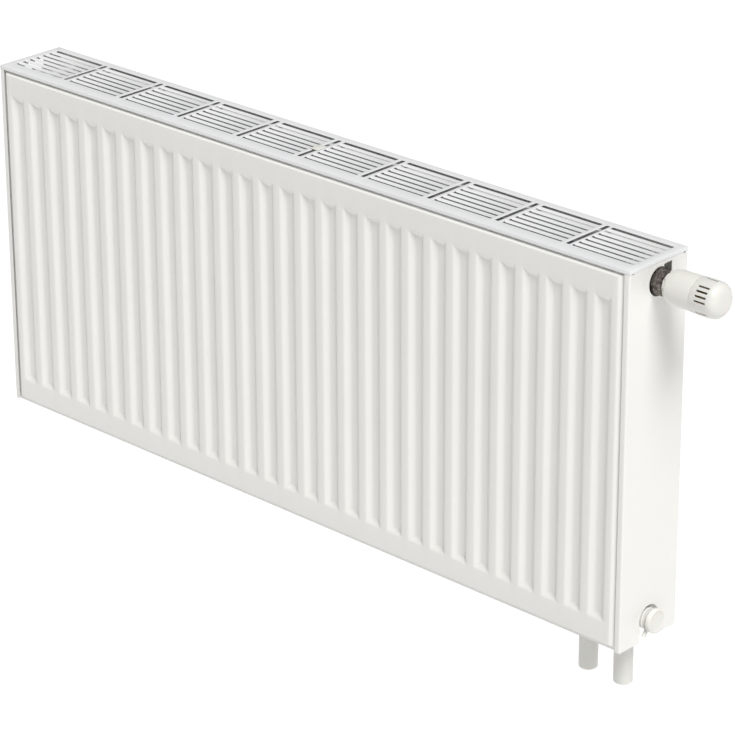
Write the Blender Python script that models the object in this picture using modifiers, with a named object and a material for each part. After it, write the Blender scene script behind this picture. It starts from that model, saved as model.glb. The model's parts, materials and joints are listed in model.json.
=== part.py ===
"""Steel panel radiator with two water panels, two convectors and a built-in thermostatic valve.

Frame: X along the length (valve end at +X), Y towards the wall, Z up.
The origin is the middle of the length, on the plane of the hanging lugs' wall side,
level with the bottom edge of the panels.
"""
from math import cos, pi, radians, sin

import bmesh
import bpy
from mathutils import Matrix, Vector

MM = 0.001

# Driving dimensions
LENGTH = 1000 * MM          # over the side covers
HEIGHT = 450 * MM           # panel bottom edge to grille top
DEPTH = 102 * MM            # front crown to rear crown, type 22
LUG_STANDOFF = 10 * MM      # rear crown to the lugs' wall side
CHANNELS = 30               # water channels along the length
TOUCH_GAP = 0.3 * MM        # kept between pieces that rest on each other

# Pressed water panels
SHEET = 1.25 * MM
PRESS_DEPTH = 5.0 * MM
GROOVE_FLOOR = 6.4 * MM
GROOVE_FLANK = 9.5 * MM
HEADER_HEIGHT = 31 * MM
SEAM_WIDTH = 3.5 * MM
SEAM_SLOPE = 3.6 * MM
SIDE_SLOPE = 7.0 * MM
SIDE_SEAM = 5.0 * MM
PANEL_END_GAP = 2.5 * MM    # sheet edge to the side cover's outer face
PANEL_TOP_GAP = 2.3 * MM    # sheet edge to the grille's top

# Covers and grille
COVER_SHEET = 0.8 * MM
COVER_RECESS = 2.0 * MM     # covers stand this far behind the crowns
COVER_FLANGE = 7.0 * MM
LID_LIP = 4.0 * MM
SLOTS_PER_FIELD = 7
GRILLE_FIELDS = 10
SLOT_PITCH = 10.8 * MM
SLOT_WIDTH = 4.8 * MM
SLOT_LENGTH = 84 * MM
SLOT_TURN_DOWN = 0.5 * MM
SLOT_OFFSET = 3.5 * MM      # slots' middle, behind the middle of the cover
END_FIELD_SHIFT = 2.0 * MM  # the end fields stand this much further in
CLIP_X = 350 * MM
RIB_GAP_WIDTH = 5.5 * MM

# Convectors
CONVECTOR_SHEET = 0.6 * MM
FIN_REACH = 32 * MM
FIN_FOOT = 8 * MM
FIN_WEB = 15 * MM
FIRST_FIN_CHANNEL = 2
LAST_FIN_CHANNEL = 26
CONVECTOR_MARGIN = 30 * MM

# Water connections
HUB_INSET = 33 * MM         # hub axis to the end of the body
HUB_LEVEL = 25 * MM         # hub axis to the top or bottom edge
HUB_RADIUS = 14 * MM
HUB_BORE = 9.8 * MM
HUB_SIDES = 14
PORT_RADIUS = 5.5 * MM      # opening from a hub into a water panel
SOCKET_REACH = 19 * MM      # hub axis to its socket's face
NIPPLE_PITCH = 50 * MM
NIPPLE_DROP = 66 * MM
NIPPLE_RADIUS = 9.0 * MM
SLEEVE_RADIUS = 11.0 * MM
RISER_RADIUS = 7.0 * MM

SOCKET_RADIUS = 12.5 * MM

# Plugs, screws and the drain cap
SHANK_RADIUS = 9.5 * MM
SHANK_LENGTH = 13 * MM
PLUG_FLANGE = 2.4 * MM
PLUG_HEAD = 3.5 * MM
SCREW_CHANNEL = 3.2 * MM
CAP_RADIUS = 14 * MM
CAP_LENGTH = 5.6 * MM
SPOUT_RADIUS = 6.5 * MM
SPOUT_LENGTH = 3.5 * MM
NOZZLE_RADIUS = 1.6 * MM
DRAIN_HEAD = 12.2 * MM
DRAIN_SPOUT_LENGTH = 5.4 * MM
DRAIN_NOZZLE_RADIUS = 2.3 * MM
DRAIN_NOZZLE_REACH = 21 * MM
DRAIN_NOZZLE_TURN = radians(-35)

# Openings in the side covers
COVER_HOLE_RADIUS = 16.5 * MM
FOOT_SLOT_WIDTH = 29 * MM

# Hanging lugs
LUG_CHANNELS = (4, 25)
LUG_SHEET = 2.0 * MM
LUG_HEIGHT = 60 * MM
LUG_WEB = 26 * MM
LUG_FOOT = 10 * MM

# Thermostatic head
HEAD_RADIUS = 20 * MM
HEAD_START = 20 * MM        # from the side cover's outer face
HEAD_SPLIT = 34 * MM        # length of the grip
HEAD_END = 87 * MM
HEAD_WALL = 2.3 * MM
HEAD_CROWN = 11 * MM        # rounding of the cap's end
NUT_RADIUS = 14.4 * MM
HEAD_SIDES = 28
VENT_GROUPS = 4
VENTS_PER_GROUP = 4
VENT_LENGTH = 15 * MM
VENT_WIDTH = 2.3 * MM
VENT_STEP = radians(16)
VENT_CENTRE = 69 * MM       # from the side cover's outer face
VENT_FACING = radians(152)  # turn of the first group about +X from +Y

# Derived places
HALF = LENGTH / 2
PITCH = LENGTH / CHANNELS
REAR_CROWN = -LUG_STANDOFF
FRONT_CROWN = REAR_CROWN - DEPTH
MID_Y = (REAR_CROWN + FRONT_CROWN) / 2
PANEL_THICKNESS = 2 * (PRESS_DEPTH + SHEET) + TOUCH_GAP
HUB_X = HALF - HUB_INSET
TOP_HUB_Z = HEIGHT - HUB_LEVEL
BOTTOM_HUB_Z = HUB_LEVEL
COVER_TOP = HEIGHT - LID_LIP - TOUCH_GAP
SUPPLY_X = HUB_X - NIPPLE_PITCH

AXIS_ROTATIONS = {
    "+X": (0, pi / 2, 0),
    "-X": (0, -pi / 2, 0),
    "+Y": (-pi / 2, 0, 0),
    "+Z": (0, 0, 0),
    "-Z": (pi, 0, 0),
}

MATERIALS = {
    "white_enamel": ((0.88, 0.88, 0.86), 0.35, 0.0),
    "white_plastic": ((0.86, 0.86, 0.83), 0.45, 0.0),
    "nickel": ((0.60, 0.58, 0.56), 0.35, 1.0),
    "brass": ((0.78, 0.60, 0.30), 0.30, 1.0),
    "spring_steel": ((0.45, 0.45, 0.47), 0.30, 1.0),
    "black_rubber": ((0.03, 0.03, 0.03), 0.80, 0.0),
}


def clear_scene():
    for obj in list(bpy.data.objects):
        bpy.data.objects.remove(obj, do_unlink=True)


def make_collection(name):
    collection = bpy.data.collections.new(name)
    bpy.context.scene.collection.children.link(collection)
    return collection


clear_scene()
PARTS = make_collection("panel_radiator")
CUTTERS = make_collection("cutters")


def make_material(node_name, kind):
    colour, roughness, metallic = MATERIALS[kind]
    material = bpy.data.materials.new(f"{node_name}_{kind}")
    material.use_nodes = True
    shader = material.node_tree.nodes["Principled BSDF"]
    shader.inputs["Base Color"].default_value = (*colour, 1)
    shader.inputs["Roughness"].default_value = roughness
    shader.inputs["Metallic"].default_value = metallic
    return material


def place_mesh(name, bm, kind=None, location=(0, 0, 0), axis="+Z"):
    """Finish a bmesh as a part, or as a cutter when kind is None."""
    mesh = bpy.data.meshes.new(name)
    bm.to_mesh(mesh)
    bm.free()
    obj = bpy.data.objects.new(name, mesh)
    obj.location = location
    obj.rotation_euler = AXIS_ROTATIONS[axis]
    if kind is None:
        CUTTERS.objects.link(obj)
        obj.hide_render = True
        obj.display_type = "WIRE"
    else:
        PARTS.objects.link(obj)
        mesh.materials.append(make_material(name, kind))
    return obj


def smooth(obj, angle=35):
    obj.data.shade_smooth()
    obj.data.set_sharp_from_angle(angle=radians(angle))
    return obj


def box_mesh(low, high):
    bm = bmesh.new()
    bmesh.ops.create_cube(bm, size=1)
    low = Vector(low)
    high = Vector(high)
    bmesh.ops.scale(bm, vec=high - low, verts=bm.verts)
    bmesh.ops.translate(bm, vec=(low + high) / 2, verts=bm.verts)
    return bm


def box(name, low, high, kind=None):
    return place_mesh(name, box_mesh(low, high), kind)


def cylinder(name, radius, start, length, axis, kind=None, sides=24, turn=0.0):
    """A cylinder or prism from the point start, length along axis."""
    bm = bmesh.new()
    bmesh.ops.create_cone(bm, cap_ends=True, segments=sides, radius1=radius, radius2=radius,
                          depth=length, matrix=Matrix.Rotation(turn, 4, "Z"))
    bmesh.ops.translate(bm, vec=(0, 0, length / 2), verts=bm.verts)
    return place_mesh(name, bm, kind, start, axis)


def boolean(obj, tool, operation="DIFFERENCE"):
    modifier = obj.modifiers.new(f"{operation.lower()}_{tool.name}", "BOOLEAN")
    modifier.operation = operation
    modifier.object = tool
    modifier.solver = "EXACT"
    return modifier


def turned(name, profile, kind, start, axis, sides=18, ring=False):
    """Turn (radius, height) points about the axis; they run down the outer side.

    A ring's profile is closed on itself, and a solid's starts and ends on the axis.
    """
    bm = bmesh.new()
    verts = [bm.verts.new((radius, 0, height)) for radius, height in profile]
    pairs = list(zip(verts, verts[1:]))
    if ring:
        pairs.append((verts[-1], verts[0]))
    for first, second in pairs:
        bm.edges.new((first, second))
    obj = place_mesh(name, bm, kind, start, axis)
    screw = obj.modifiers.new("turn", "SCREW")
    screw.axis = "Z"
    screw.angle = 2 * pi
    screw.steps = sides
    screw.render_steps = sides
    screw.use_merge_vertices = True
    screw.merge_threshold = 0.00001
    return obj


def pipe(name, outer, inner, height, kind, start, axis, sides=16):
    profile = [(inner, height), (outer, height), (outer, 0), (inner, 0)]
    return turned(name, profile, kind, start, axis, sides, ring=True)


def seal_ring(name, radius, thickness, centre):
    """An O-ring about the X direction."""
    bpy.ops.mesh.primitive_torus_add(major_radius=radius, minor_radius=thickness / 2,
                                     major_segments=14, minor_segments=4,
                                     location=centre, rotation=(0, pi / 2, 0))
    obj = bpy.context.object
    obj.name = name
    for collection in list(obj.users_collection):
        collection.objects.unlink(obj)
    PARTS.objects.link(obj)
    obj.data.materials.append(make_material(name, "black_rubber"))
    return smooth(obj)


def swept_strip(name, outline, z_low, z_high, thickness, kind, offset=0.0):
    """A folded sheet: an open outline in X and Y, drawn up from z_low to z_high."""
    bm = bmesh.new()
    verts = [bm.verts.new((x, y, z_low)) for x, y in outline]
    edges = [bm.edges.new(pair) for pair in zip(verts, verts[1:])]
    drawn = bmesh.ops.extrude_edge_only(bm, edges=edges)["geom"]
    risen = [item for item in drawn if isinstance(item, bmesh.types.BMVert)]
    bmesh.ops.translate(bm, vec=(0, 0, z_high - z_low), verts=risen)
    obj = place_mesh(name, bm, kind)
    thicken(obj, thickness, offset)
    return obj


def thicken(obj, thickness, offset):
    solidify = obj.modifiers.new("sheet", "SOLIDIFY")
    solidify.thickness = thickness
    solidify.offset = offset
    solidify.use_even_offset = True
    solidify.use_quality_normals = True
    return solidify


def grid_sheet(columns, rows):
    """A flat grid in X and Y whose lines lie at the given places."""
    bm = bmesh.new()
    bmesh.ops.create_grid(bm, x_segments=len(columns) - 1, y_segments=len(rows) - 1, size=0.5)
    for vert in bm.verts:
        column = round((vert.co.x + 0.5) * (len(columns) - 1))
        row = round((vert.co.y + 0.5) * (len(rows) - 1))
        vert.co = (columns[column], rows[row], 0)
    return bm


# Water panels

def groove_centres():
    return [PITCH * (index + 1) - HALF for index in range(CHANNELS - 1)]


def pressed_sheet(name, crown_y, outward):
    """One pressed half of a water panel; its grooves sink against the outward direction."""
    sheet_half = HALF - PANEL_END_GAP
    reach = GROOVE_FLOOR / 2 + GROOVE_FLANK
    columns = [-sheet_half, -sheet_half + SIDE_SEAM, -sheet_half + SIDE_SEAM + SIDE_SLOPE]
    for centre in groove_centres():
        columns += [centre - reach, centre - GROOVE_FLOOR / 2]
        columns += [centre + GROOVE_FLOOR / 2, centre + reach]
    columns += [-value for value in reversed(columns[:3])]
    top = HEIGHT - PANEL_TOP_GAP
    half_rows = [0, SEAM_WIDTH, SEAM_WIDTH + SEAM_SLOPE, HEADER_HEIGHT, HEADER_HEIGHT + GROOVE_FLANK]
    rows = half_rows + [top - value for value in reversed(half_rows)]
    bm = grid_sheet(columns, rows)

    def is_sunk(point):
        column = min(range(len(columns)), key=lambda index: abs(columns[index] - point.x))
        row = min(range(len(rows)), key=lambda index: abs(rows[index] - point.y))
        at_seam = column < 2 or column > len(columns) - 3 or row < 2 or row > len(rows) - 3
        on_floor = 3 <= column < len(columns) - 3 and (column - 3) % 4 in (1, 2)
        return at_seam or (on_floor and 4 <= row <= len(rows) - 5)

    sunk = {vert: is_sunk(vert.co) for vert in bm.verts}
    for face in list(bm.faces):
        corners = list(face.verts)
        count = sum(sunk[vert] for vert in corners)
        if count in (1, 3):
            odd = next(index for index in range(4) if sunk[corners[index]] == (count == 1))
            bmesh.utils.face_split(face, corners[odd], corners[(odd + 2) % 4])
    join_flat_strips(bm, columns, rows)
    for vert in bm.verts:
        depth = PRESS_DEPTH if sunk[vert] else 0
        vert.co = (vert.co.x, crown_y - outward * depth, vert.co.y)
    if outward > 0:
        bmesh.ops.reverse_faces(bm, faces=bm.faces)
    obj = place_mesh(name, bm, "white_enamel")
    thicken(obj, SHEET, -1)
    return smooth(obj, 20)


def join_flat_strips(bm, columns, rows):
    """Drop the grid lines that cross flat strips, so that each strip is one face."""
    crossing = []
    for edge in bm.edges:
        first, second = (vert.co for vert in edge.verts)
        middle = (first + second) / 2
        inside = columns[2] + 0.1 * MM < middle.x < columns[-3] - 0.1 * MM
        in_header = middle.y < rows[3] or middle.y > rows[-4]
        if inside and in_header and abs(first.x - second.x) < 0.01 * MM:
            crossing.append(edge)
        on_end_slope = rows[3] < middle.y < rows[4] or rows[-5] < middle.y < rows[-4]
        floor_side = any(abs(abs(middle.x - centre) - GROOVE_FLOOR / 2) < 0.01 * MM
                         for centre in groove_centres())
        if on_end_slope and floor_side and abs(first.x - second.x) < 0.01 * MM:
            crossing.append(edge)
        at_floor_end = min(abs(middle.y - rows[4]), abs(middle.y - rows[-5])) < 0.01 * MM
        beside_floor = all(abs(middle.x - centre) > GROOVE_FLOOR / 2 for centre in groove_centres())
        if inside and at_floor_end and beside_floor and abs(first.y - second.y) < 0.01 * MM:
            crossing.append(edge)
    bmesh.ops.dissolve_edges(bm, edges=crossing, use_verts=True)


def make_water_panels():
    inner = PANEL_THICKNESS
    sheets = {
        "front_panel_outer_sheet": (FRONT_CROWN, -1),
        "front_panel_inner_sheet": (FRONT_CROWN + inner, 1),
        "rear_panel_inner_sheet": (REAR_CROWN - inner, -1),
        "rear_panel_outer_sheet": (REAR_CROWN, 1),
    }
    made = {}
    for name, (crown_y, outward) in sheets.items():
        made[name] = pressed_sheet(name, crown_y, outward)
    return made


def make_convector(name, foot_y, reach):
    """Hat-shaped fins over the water channels; reach is signed, away from the panel."""
    tip_y = foot_y + reach
    outline = []
    for channel in range(FIRST_FIN_CHANNEL, LAST_FIN_CHANNEL + 1):
        centre = PITCH * (channel + 0.5) - HALF
        outline += [(centre - FIN_FOOT / 2, foot_y), (centre + FIN_FOOT / 2, foot_y)]
        if channel < LAST_FIN_CHANNEL:
            middle = centre + PITCH / 2
            outline += [(middle - FIN_WEB / 2, tip_y), (middle + FIN_WEB / 2, tip_y)]
    swept_strip(name, outline, CONVECTOR_MARGIN, HEIGHT - CONVECTOR_MARGIN, CONVECTOR_SHEET,
                "white_enamel")


# Grille and covers

def slot_rows():
    """Low and high Y of each long slot, counted from the front."""
    first = MID_Y - SLOT_PITCH * (SLOTS_PER_FIELD - 1) / 2 + SLOT_OFFSET
    middles = [first + SLOT_PITCH * index for index in range(SLOTS_PER_FIELD)]
    return [(middle - SLOT_WIDTH / 2, middle + SLOT_WIDTH / 2) for middle in middles]


def make_grille():
    field = LENGTH / GRILLE_FIELDS
    columns = [-HALF]
    slot_columns = set()
    rib_columns = set()
    for index in range(GRILLE_FIELDS):
        middle = field * (index + 0.5) - HALF
        if index == 0:
            middle += END_FIELD_SHIFT
        if index == GRILLE_FIELDS - 1:
            middle -= END_FIELD_SHIFT
        slot_columns.add(len(columns))
        columns += [middle - SLOT_LENGTH / 2, middle + SLOT_LENGTH / 2]
        if index < GRILLE_FIELDS - 1:
            border = field * (index + 1) - HALF
            rib_columns.add(len(columns))
            columns += [border - RIB_GAP_WIDTH / 2, border + RIB_GAP_WIDTH / 2]
    columns.append(HALF)
    rows = [FRONT_CROWN + COVER_RECESS]
    for low, high in slot_rows():
        rows += [low, high]
    rows.append(REAR_CROWN - COVER_RECESS)
    bm = grid_sheet(columns, rows)

    def is_open(face):
        middle = face.calc_center_median()
        column = sum(value < middle.x for value in columns) - 1
        row = sum(value < middle.y for value in rows)
        in_slot = column in slot_columns and row % 2 == 0
        in_rib = column in rib_columns and 2 <= row <= len(rows) - 2
        return in_slot or in_rib

    gaps = [face for face in bm.faces if is_open(face)]
    bmesh.ops.delete(bm, geom=gaps, context="FACES")
    bmesh.ops.dissolve_limit(bm, angle_limit=radians(0.1), verts=bm.verts, edges=bm.edges)
    outer = [edge for edge in bm.edges if edge.is_boundary and on_border(edge, columns, rows)]
    inner = [edge for edge in bm.edges if edge.is_boundary and not on_border(edge, columns, rows)]
    for edges, drop in ((outer, LID_LIP), (inner, SLOT_TURN_DOWN)):
        drawn = bmesh.ops.extrude_edge_only(bm, edges=edges)["geom"]
        lowered = [item for item in drawn if isinstance(item, bmesh.types.BMVert)]
        bmesh.ops.translate(bm, vec=(0, 0, -drop), verts=lowered)
    bmesh.ops.translate(bm, vec=(0, 0, HEIGHT), verts=bm.verts)
    bmesh.ops.recalc_face_normals(bm, faces=bm.faces)
    if max(bm.faces, key=lambda face: face.calc_area()).normal.z < 0:
        bmesh.ops.reverse_faces(bm, faces=bm.faces)
    obj = place_mesh("top_grille", bm, "white_enamel")
    thicken(obj, COVER_SHEET, -1)
    return obj


def on_border(edge, columns, rows):
    middle = (edge.verts[0].co + edge.verts[1].co) / 2
    at_end = min(abs(middle.x - columns[0]), abs(middle.x - columns[-1])) < 0.1 * MM
    at_side = min(abs(middle.y - rows[0]), abs(middle.y - rows[-1])) < 0.1 * MM
    return at_end or at_side


def make_side_cover(name, side):
    """A folded end cover; side is 1 at the valve end and -1 at the other end."""
    front = FRONT_CROWN + COVER_RECESS
    rear = REAR_CROWN - COVER_RECESS
    half = COVER_SHEET / 2
    outline = [
        (side * (HALF - COVER_FLANGE), front + half),
        (side * (HALF - half), front + half),
        (side * (HALF - half), rear - half),
        (side * (HALF - COVER_FLANGE), rear - half),
    ]
    cover = swept_strip(name, outline, 0, COVER_TOP, COVER_SHEET, "white_enamel")
    wall = side * (HALF - 5 * MM)
    axis = "+X" if side > 0 else "-X"
    for level, place in ((TOP_HUB_Z, "top"), (BOTTOM_HUB_Z, "bottom")):
        hole = cylinder(f"{name}_{place}_hole_cutter", COVER_HOLE_RADIUS,
                        (wall, MID_Y, level), 10 * MM, axis)
        boolean(cover, hole)
    x_low, x_high = sorted((wall, side * (HALF + 5 * MM)))
    slit_low = COVER_TOP - 1.2 * MM
    slit_high = COVER_TOP + 2 * MM
    notches = {
        "key_notch": ((MID_Y + 8 * MM, TOP_HUB_Z + 5 * MM), (MID_Y + 22 * MM, TOP_HUB_Z + 17.5 * MM)),
        "foot_slot": ((MID_Y - FOOT_SLOT_WIDTH / 2, -5 * MM), (MID_Y + FOOT_SLOT_WIDTH / 2, 17 * MM)),
        "front_slit": ((front + 4 * MM, slit_low), (front + 8 * MM, slit_high)),
        "rear_slit": ((rear - 8 * MM, slit_low), (rear - 4 * MM, slit_high)),
    }
    for notch, ((y_low, z_low), (y_high, z_high)) in notches.items():
        cutter = box(f"{name}_{notch}_cutter", (x_low, y_low, z_low), (x_high, y_high, z_high))
        boolean(cover, cutter)
    return cover


def make_grille_clips():
    """U-shaped spring clips behind the front panel's top edge; the rear lip only hooks on."""
    leg = 9 * MM
    top = HEIGHT - COVER_SHEET - TOUCH_GAP
    clip_sheet = 0.6 * MM
    width = 16 * MM
    near = FRONT_CROWN + PANEL_THICKNESS + 0.8 * MM
    far = near + 4 * MM
    outline = [(near, -leg), (near, -clip_sheet), (far, -clip_sheet), (far, -leg)]
    for x, side_name in ((-CLIP_X, "left"), (CLIP_X, "right")):
        bm = bmesh.new()
        verts = [bm.verts.new((x - width / 2, y, top + z)) for y, z in outline]
        edges = [bm.edges.new(pair) for pair in zip(verts, verts[1:])]
        drawn = bmesh.ops.extrude_edge_only(bm, edges=edges)["geom"]
        moved = [item for item in drawn if isinstance(item, bmesh.types.BMVert)]
        bmesh.ops.translate(bm, vec=(width, 0, 0), verts=moved)
        clip = place_mesh(f"{side_name}_grille_clip", bm, "spring_steel")
        thicken(clip, clip_sheet, 0)


def make_centre_clip():
    middle_y = MID_Y + 2 * MM
    low = (-6 * MM, middle_y - 8 * MM, HEIGHT + TOUCH_GAP)
    high = (6 * MM, middle_y + 8 * MM, HEIGHT + TOUCH_GAP + 1.2 * MM)
    clip = box("grille_centre_clip", low, high, "white_plastic")
    bevel = clip.modifiers.new("edges", "BEVEL")
    bevel.width = 0.4 * MM
    bevel.segments = 1


# Water connections

def make_hub(name, side, level):
    """A tee that joins both panels, with a threaded socket towards the end of the body."""
    reach = DEPTH / 2 - PANEL_THICKNESS - TOUCH_GAP
    x = side * HUB_X
    axis = "+X" if side > 0 else "-X"
    margin = 1 * MM
    middle = (x, MID_Y, level)
    hub = cylinder(name, HUB_RADIUS, (x, MID_Y - reach, level), 2 * reach, "+Y", "white_enamel",
                   HUB_SIDES)
    socket = cylinder(f"{name}_socket_cutter", SOCKET_RADIUS, middle, SOCKET_REACH, axis, None,
                      HUB_SIDES)
    through = cylinder(f"{name}_through_cutter", 9 * MM, (x, MID_Y - reach - margin, level),
                       2 * (reach + margin), "+Y", None, HUB_SIDES)
    bore = cylinder(f"{name}_bore_cutter", HUB_BORE, middle, SOCKET_REACH + margin, axis, None,
                    HUB_SIDES)
    boolean(hub, socket, "UNION")
    boolean(hub, through)
    boolean(hub, bore)
    return smooth(hub)


def make_connections(sheets):
    ports = {"front_panel_inner_sheet": FRONT_CROWN + PANEL_THICKNESS - 3 * MM,
             "rear_panel_inner_sheet": REAR_CROWN - PANEL_THICKNESS - 1 * MM}
    for side, side_name in ((-1, "left"), (1, "right")):
        for level, level_name in ((TOP_HUB_Z, "top"), (BOTTOM_HUB_Z, "bottom")):
            name = f"{level_name}_{side_name}_hub"
            make_hub(name, side, level)
            for sheet, start in ports.items():
                hole = cylinder(f"{sheet}_{name}_cutter", PORT_RADIUS, (side * HUB_X, start, level),
                                4 * MM, "+Y", None, 12)
                boolean(sheets[sheet], hole)

    nipple_low = -NIPPLE_DROP + 25 * MM
    return_top = BOTTOM_HUB_Z - HUB_RADIUS - TOUCH_GAP
    supply_top = 20 * MM
    for name, x, top in (("supply", SUPPLY_X, supply_top), ("return", HUB_X, return_top)):
        smooth(pipe(f"{name}_nipple", NIPPLE_RADIUS, 6.5 * MM, top - nipple_low, "nickel",
                    (x, MID_Y, nipple_low), "+Z", 16))
        inner = NIPPLE_RADIUS + TOUCH_GAP
        length = NIPPLE_DROP - 2 * MM
        profile = [(inner, length), (SLEEVE_RADIUS, length), (SLEEVE_RADIUS, 1.5 * MM),
                   (SLEEVE_RADIUS - 1.5 * MM, 0), (0, 0)]
        closed = [(0, 2 * MM), (inner, 2 * MM)] + profile
        smooth(turned(f"{name}_sleeve", closed, "white_plastic", (x, MID_Y, -NIPPLE_DROP), "+Z"))

    plate = box("connection_bracket", (SUPPLY_X - 15 * MM, MID_Y - 16 * MM, 3 * MM),
                (HUB_X + 14 * MM, MID_Y + 16 * MM, 6 * MM), "white_enamel")
    for name, x in (("supply", SUPPLY_X), ("return", HUB_X)):
        hole = cylinder(f"bracket_{name}_cutter", NIPPLE_RADIUS + TOUCH_GAP,
                        (x, MID_Y, 0), 10 * MM, "+Z", None, 20)
        boolean(plate, hole)
    make_riser(supply_top + TOUCH_GAP)


def make_riser(low):
    """The supply pipe: straight up from its nipple, then over to the valve pocket."""
    high = TOP_HUB_Z - HUB_RADIUS - 0.8 * MM
    bend = 30 * MM
    turn_low = high - 2 * bend + 2 * MM
    curve = bpy.data.curves.new("riser_pipe_route", "CURVE")
    curve.dimensions = "3D"
    curve.bevel_depth = RISER_RADIUS
    curve.bevel_resolution = 2
    curve.use_fill_caps = True
    curve.render_resolution_u = 0
    points = [(SUPPLY_X, low), (SUPPLY_X, turn_low)]
    steps = 6
    for index in range(1, steps):
        share = index / steps
        eased = share * share * (3 - 2 * share)
        points.append((SUPPLY_X + NIPPLE_PITCH * eased, turn_low + (high - 4 * MM - turn_low) * share))
    points += [(HUB_X, high - 4 * MM), (HUB_X, high)]
    spline = curve.splines.new("POLY")
    spline.points.add(len(points) - 1)
    for point, (x, z) in zip(spline.points, points):
        point.co = (x, MID_Y, z, 1)
    riser = bpy.data.objects.new("riser_pipe", curve)
    curve.materials.append(make_material("riser_pipe", "white_enamel"))
    PARTS.objects.link(riser)


def make_blind_plug(name, side, level, hollow=0.0, head=PLUG_HEAD):
    """A threaded plug: its shank fills the hub's socket and its flange closes it."""
    face = side * (HUB_X + SOCKET_REACH)
    axis = "+X" if side > 0 else "-X"
    start = (face - side * SHANK_LENGTH, MID_Y, level)
    seat = SHANK_LENGTH + PLUG_FLANGE
    top = seat + head
    outer = [(SOCKET_RADIUS, top), (SOCKET_RADIUS, seat), (SHANK_RADIUS, seat), (SHANK_RADIUS, 0)]
    if hollow:
        profile = [(hollow, top)] + outer + [(hollow, 0)]
    else:
        profile = [(0, top)] + outer + [(0, 0)]
    plug = turned(name, profile, "nickel", start, axis, 20, ring=bool(hollow))
    seal_ring(f"{name}_seal", 11.1 * MM, 1.9 * MM, (face + side * PLUG_FLANGE / 2, MID_Y, level))
    return smooth(plug)


def make_plugs():
    make_blind_plug("left_blind_plug", -1, BOTTOM_HUB_Z)
    socket = cylinder("left_blind_plug_hex_cutter", 6.2 * MM,
                      (-HUB_X - SOCKET_REACH - 1.5 * MM, MID_Y, BOTTOM_HUB_Z), 8 * MM, "-X", None, 6)
    boolean(bpy.data.objects["left_blind_plug"], socket)

    make_blind_plug("bleed_plug", -1, TOP_HUB_Z, hollow=SCREW_CHANNEL)
    face = HUB_X + SOCKET_REACH + PLUG_FLANGE + PLUG_HEAD
    screw = [(0, 22 * MM), (2.0 * MM, 22 * MM), (2.0 * MM, 17 * MM), (2.9 * MM, 17 * MM),
             (2.9 * MM, 2 * MM), (0, 0)]
    smooth(turned("bleed_screw", screw, "brass", (-face + 16.6 * MM, MID_Y, TOP_HUB_Z), "-X", 16))
    make_spout("bleed_spout", (-face - TOUCH_GAP, MID_Y, TOP_HUB_Z), "-X", SPOUT_LENGTH,
               NOZZLE_RADIUS, 8 * MM)

    make_blind_plug("drain_plug", 1, BOTTOM_HUB_Z, hollow=SCREW_CHANNEL, head=DRAIN_HEAD)
    face = HUB_X + SOCKET_REACH + PLUG_FLANGE + DRAIN_HEAD
    make_spout("drain_spout", (face + TOUCH_GAP, MID_Y, BOTTOM_HUB_Z), "+X", DRAIN_SPOUT_LENGTH,
               DRAIN_NOZZLE_RADIUS, DRAIN_NOZZLE_REACH, DRAIN_NOZZLE_TURN)
    start = (face + DRAIN_SPOUT_LENGTH + 2 * TOUCH_GAP, MID_Y, BOTTOM_HUB_Z)
    cap = [(0, CAP_LENGTH), (CAP_RADIUS - 1 * MM, CAP_LENGTH), (CAP_RADIUS, CAP_LENGTH - 1 * MM),
           (CAP_RADIUS, 0), (2.7 * MM, 0), (2.7 * MM, 3.6 * MM), (0, 3.6 * MM)]
    smooth(turned("drain_plug_cap", cap, "white_plastic", start, "+X", 24))
    drain_screw = [(0, 25 * MM), (2.4 * MM, 25 * MM), (2.4 * MM, 17 * MM), (2.9 * MM, 17 * MM),
                   (2.9 * MM, 2 * MM), (0, 0)]
    smooth(turned("drain_screw", drain_screw, "brass", (face - 16.6 * MM, MID_Y, BOTTOM_HUB_Z),
                  "+X", 16))


def make_spout(name, start, axis, length, radius, reach, turn=0.0):
    """A swivelling plastic ring with a short nozzle; turn swings the nozzle from straight down."""
    ring = pipe(name, SPOUT_RADIUS, 3.3 * MM, length, "white_plastic", start, axis)
    root = 4.8 * MM
    middle = start[0] + (length / 2 if axis == "+X" else -length / 2)
    foot = (middle, MID_Y + root * sin(turn), start[2] - root * cos(turn))
    nozzle = cylinder(f"{name}_nozzle_cutter", radius, foot, reach - root, "-Z", None, 10)
    nozzle.rotation_euler = (pi + turn, 0, 0)
    boolean(ring, nozzle, "UNION")
    return smooth(ring)


# Hanging lugs

def make_lugs():
    """Hat-shaped lugs on the rear panel, slotted for the wall brackets' hooks."""
    foot_y = REAR_CROWN + TOUCH_GAP + LUG_SHEET / 2
    web_y = -LUG_SHEET / 2
    levels = {"upper": HEIGHT - 40 * MM - LUG_HEIGHT, "lower": 40 * MM}
    for channel, side_name in zip(LUG_CHANNELS, ("left", "right")):
        centre = PITCH * (channel + 0.5) - HALF
        half = LUG_WEB / 2
        outline = [
            (centre - half - LUG_FOOT, foot_y),
            (centre - half, foot_y),
            (centre - half + 1 * MM, web_y),
            (centre + half - 1 * MM, web_y),
            (centre + half, foot_y),
            (centre + half + LUG_FOOT, foot_y),
        ]
        for level_name, low in levels.items():
            name = f"{level_name}_{side_name}_lug"
            lug = swept_strip(name, outline, low, low + LUG_HEIGHT, LUG_SHEET, "white_enamel")
            slot = box(f"{name}_slot_cutter", (centre - 4 * MM, -5 * MM, low + 30 * MM),
                       (centre + 4 * MM, 5 * MM, low + 48 * MM))
            boolean(lug, slot)


# Thermostatic valve and head

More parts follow.
